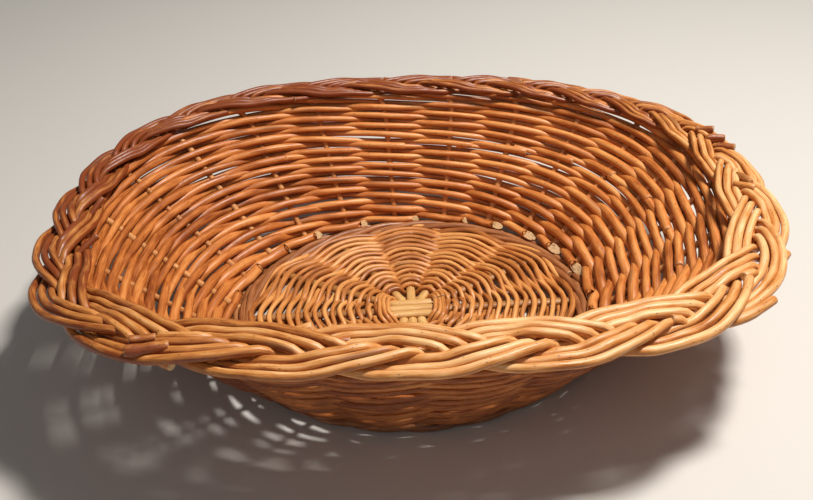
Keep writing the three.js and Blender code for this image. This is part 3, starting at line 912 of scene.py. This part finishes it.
def stick_path(lane, lengthwise):
    """A base stick: straight through the cross, then along its two spokes.

    point = start + (end - start) fan, where fan goes evenly from 0 at the cross to 1 at the edge.
    """
    share = np.linspace(-1, 1, STICK_STATIONS)
    side = np.sign(share)
    across = 0.0 if lengthwise else math.pi / 2
    reach = foot_radius(lane * SPOKE_ANGLE + across) - FOOT_WIDTH / 2
    distance = np.abs(share) * reach
    fan = np.clip((distance - CROSS_HALF) / (reach - CROSS_HALF), 0, 1)
    even = np.ones(STICK_STATIONS)
    start = np.stack([side * np.minimum(distance, CROSS_HALF), even * lane * LANE_PITCH], -1)
    end = reach * np.stack([side * math.cos(lane * SPOKE_ANGLE), even * math.sin(lane * SPOKE_ANGLE)], -1)
    flat = start + (end - start) * fan[:, None]
    if not lengthwise:
        flat = np.stack([-flat[:, 1], flat[:, 0]], -1)
    return np.column_stack([flat, even * BASE_MIDDLE])


rng = np.random.default_rng(41)
SPLIT_LIFT = 1.1 * MM
BARE_REACH = 17 * MM  # the sticks are pale this far out, and stained like the weave past it
STAIN_FADE = 12 * MM
STICK_STAIN = 1.3
for lane in (-1, 0, 1):
    for lengthwise, kind in ((True, "split"), (False, "through")):
        middle = stick_path(lane, lengthwise)
        near_cross = np.hypot(middle[:, 0], middle[:, 1]) < 1.6 * CROSS_HALF
        middle[near_cross, 2] += SPLIT_LIFT if lengthwise else -SPLIT_LIFT
        distance = lengths_along(middle)
        radius = STICK_RADIUS * (1 + wander(rng, distance, 0.03, 0.06, 0.02))
        from_middle = np.hypot(middle[:, 0], middle[:, 1])
        stain = STICK_STAIN * np.clip((from_middle - BARE_REACH) / STAIN_FADE, 0, 1)
        stick = rod(rng, middle, radius, (0, 0, 1.0), tone=rng.uniform(0.5, 0.9) - stain, flat=STICK_FLAT)
        make_piece(f"{kind}_base_stick_{lane + 2}", [stick], STICK_WILLOW,
                   [f"{kind}_stick_{lane + 2}"])
print("base sticks: 6, base middle at, mm:", round(BASE_MIDDLE / MM, 2))

# %% [markdown]
# ## Base weave
# Thin rods are woven round the spokes in rounds that lie one against the next: over one spoke and
# under the next, and the other way in the round after it. Pulled tight between the spokes, each
# round is a polygon with soft corners. Three ties hold the cross together before the first round.
# Each CAD band stands for five rounds.

# %% Base weave
band_nodes = sorted(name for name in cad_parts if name.startswith("base_weave_"))
ROUNDS_PER_BAND = 5
ROUND_STATIONS = SPOKES * 16
ROUND_OVERLAP = 0.16  # radians that a round's end lies over its start
CORNER = 1.5 * MM  # how far the outermost round's corners stand out
# Stain and painted shade darken the flanks of the base rounds by this much.
WEAVE_CREASE_STAIN_AND_SHADE = 0.4
BASE_SIDES = 8
BASE_ROD_RADIUS = 1.75 * MM
FIRST_ROUND = 22.5 * MM
TIE_ROUNDS = 3
TIE_HALF = np.array([15.2, 11.5]) * MM  # the first tie's half length and half width
TIE_PITCH = 2.7 * MM
TIE_RADIUS = 0.85 * BASE_ROD_RADIUS
LAST_ROUND = FOOT_HALF.min() - 8 * MM
round_total = len(band_nodes) * ROUNDS_PER_BAND


def base_round(rng, number, tone):
    """One round: radius scaled from the outline with corners at the spokes, and a height wave.

    height = reach tanh(snap turn) / tanh(snap), with turn = cos(6 angle + pi number); the snap is
    sharper near the middle, where the rod has little room to cross from over to under.
    """
    start = rng.uniform(0, TURN)
    angle = np.linspace(start, start + TURN + ROUND_OVERLAP, ROUND_STATIONS)
    size = FIRST_ROUND + (LAST_ROUND - FIRST_ROUND) * number / (round_total - 1)
    outline = foot_radius(angle) / FOOT_HALF.min()
    radius = size * (1 + (outline - 1) * size / FOOT_HALF.min())
    turn = np.cos(SPOKES / 2 * angle + math.pi * number)
    corner = np.cos(SPOKES * angle)
    radius = radius + CORNER * corner * size / FOOT_HALF.min()
    radius = radius + wander(rng, angle * size, 0.85 * MM, 0.12, 0.025)
    reach = STICK_RADIUS * STICK_FLAT + BASE_ROD_RADIUS * 0.35
    snap = 0.5 + 1.4 * FIRST_ROUND / size
    height = BASE_MIDDLE + reach * np.tanh(snap * turn) / math.tanh(snap)
    middle = np.column_stack([radius * np.cos(angle), radius * np.sin(angle), height])
    rod_radius = BASE_ROD_RADIUS * rng.uniform(0.82, 1.16) * (0.92 + 0.2 * number / round_total)
    rod_radius = rod_radius * (1 + wander(rng, angle * size, 0.04, 0.06, 0.02))
    return rod(rng, middle, rod_radius, (0, 0, 1.0), tone=tone, sides=BASE_SIDES, crease_stain_and_shade=WEAVE_CREASE_STAIN_AND_SHADE)


def tie_round(rng, number):
    """A tie round the cross: over the slit sticks, under the others, on |x/a|^4 + |y/b|^4 = 1."""
    angle = np.linspace(0.3, 0.25 + TURN, ROUND_STATIONS)
    half = TIE_HALF + number * TIE_PITCH
    radius = (np.abs(np.cos(angle) / half[0]) ** 4 + np.abs(np.sin(angle) / half[1]) ** 4) ** -0.25
    radius = radius + wander(rng, angle * half[0], 0.25 * MM, 0.06, 0.02)
    reach = STICK_RADIUS * STICK_FLAT + SPLIT_LIFT + BASE_ROD_RADIUS * 0.9
    height = np.maximum(BASE_MIDDLE + reach * np.tanh(3 * np.cos(2 * angle)), BASE_ROD_RADIUS)
    middle = np.column_stack([radius * np.cos(angle), radius * np.sin(angle), height])
    tone = rng.uniform(0.3, 0.8)
    return rod(rng, middle, TIE_RADIUS, (0, 0, 1.0), tone=tone, sides=BASE_SIDES, crease_stain_and_shade=WEAVE_CREASE_STAIN_AND_SHADE)


print("rounds:", round_total, "and ties:", TIE_ROUNDS)

# %% Base bands
rng = np.random.default_rng(53)
for band, node in enumerate(band_nodes):
    rods = []
    for number in range(band * ROUNDS_PER_BAND, (band + 1) * ROUNDS_PER_BAND):
        rods.append(base_round(rng, number, rng.uniform(0.0, 1.1)))
    if band == 0:
        rods += [tie_round(rng, tie) for tie in range(TIE_ROUNDS)]
    make_piece(f"base_band_{band + 1}", rods, BASE_WILLOW, [node])
print("base bands:", len(band_nodes), " triangles so far:", triangle_total)

# %% [markdown]
# ## Foot
# Where the stakes turn up, three stouter rods are twisted round them. This waling locks
# the stakes, and the basket stands on it. Twisting is a helix round the base's outline: three rods a
# third of a turn apart. A second round of three lies inside it and a little higher, where the base
# weave ends.

# %% Foot waling
WALE_RADIUS = 2.2 * MM
WALE_TWISTS = STAKES
WALE_STATIONS = WALE_TWISTS * 14
OUTER_WALE = (0.0, 4.45 * MM)  # how far outside the outline it lies, and its height
INNER_WALE = (-6.5 * MM, 7.4 * MM)
INNER_PHASE = 1.0


def wale_rod(rng, phase, outset, height, tone):
    """One waling rod: it winds round the outline at a small radius, one turn for three stakes."""
    angle = np.linspace(0, TURN, WALE_STATIONS) + phase / WALE_TWISTS
    twist = angle * WALE_TWISTS / 3 + phase
    swing = WALE_RADIUS * 1.08
    radius = foot_radius(angle) + outset + swing * np.cos(twist)
    level = height + 0.75 * swing * np.sin(twist)
    middle = np.column_stack([radius * np.cos(angle), radius * np.sin(angle), level])
    thickness = WALE_RADIUS * (1 + wander(rng, angle * FOOT_HALF[0], 0.04, 0.08, 0.02))
    return rod(rng, middle, thickness, (0, 0, 1.0), tone=tone)


rng = np.random.default_rng(61)
for index in range(3):
    phase = TURN * index / 3
    rods = [
        wale_rod(rng, phase, *OUTER_WALE, rng.uniform(0.2, 0.8)),
        wale_rod(rng, phase + INNER_PHASE, *INNER_WALE, rng.uniform(0.5, 1.0)),
    ]
    # The waling rods take the foot's darkened colours, which are painted shade.
    make_piece(f"foot_wale_{index + 1}", rods, SHADED_FOOT_WILLOW, ["foot_ring"])
print("waling rods: 6, triangles so far:", triangle_total)

# %% [markdown]
# ## Floor and light
# A plain pale floor, a small soft key light above and to the right, and a wide weak one in front.
# The key throws the open shadow of the weave to the left and draws a bright line along each border
# rod. The sky looks pale but lights the basket only a little, which keeps the creases dark: the world
# uses one strength for rays that come from the camera and another for light.

# %% Floor
FLOOR_HALF = 12.0
floor_mesh = bpy.data.meshes.new("floor")
floor_corners = [(-FLOOR_HALF, -FLOOR_HALF, 0), (FLOOR_HALF, -FLOOR_HALF, 0),
                 (FLOOR_HALF, FLOOR_HALF, 0), (-FLOOR_HALF, FLOOR_HALF, 0)]
floor_mesh.from_pydata(floor_corners, [], [(0, 1, 2, 3)])
floor = bpy.data.objects.new("floor", floor_mesh)
bpy.context.scene.collection.objects.link(floor)
floor_material = bpy.data.materials.new("pale_floor")
floor_material.use_nodes = True
floor_material.node_tree.nodes["Principled BSDF"].inputs["Base Color"].default_value = (0.66, 0.63, 0.59, 1)
floor_material.node_tree.nodes["Principled BSDF"].inputs["Roughness"].default_value = 0.7
floor_mesh.materials.append(floor_material)
print("floor: one square,", 2 * FLOOR_HALF, "m")


# %% Lights
def soft_light(name, place, size, power, colour):
    """A square area light that looks at the middle of the basket."""
    data = bpy.data.lights.new(name, "AREA")
    data.shape = "SQUARE"
    data.size = size
    data.energy = power
    data.color = colour
    light = bpy.data.objects.new(name, data)
    light.location = place
    aim = Vector((0, 0, 0.05)) - Vector(place)
    light.rotation_euler = aim.to_track_quat("-Z", "Y").to_euler()
    bpy.context.scene.collection.objects.link(light)
    return light


LIGHTS = (
    # name, place, size and power in watts, colour
    ("key", (0.5, 0.0, 1.25), 0.2, 22.0, (1.0, 0.97, 0.92)),
    ("fill", (-0.3, -1.2, 1.2), 1.0, 1.9, (0.97, 0.98, 1.0)),
)
for values in LIGHTS:
    soft_light(*values)
world = bpy.data.worlds.new("studio")
world.use_nodes = True
sky = world.node_tree
sky.nodes["Background"].inputs["Color"].default_value = (1.0, 0.98, 0.96, 1)
SKY_LIGHT, SKY_SEEN = 0.12, 0.62  # how strongly the studio lights the basket, and how pale it looks
light_path = add_node(sky, "ShaderNodeLightPath")
brightness = remap(sky, light_path.outputs["Is Camera Ray"], 0.0, 1.0, SKY_LIGHT, SKY_SEEN)
sky.links.new(brightness, sky.nodes["Background"].inputs["Strength"])
bpy.context.scene.world = world
bpy.context.scene.view_settings.view_transform = "Standard"
print("lights:", len(bpy.data.lights))
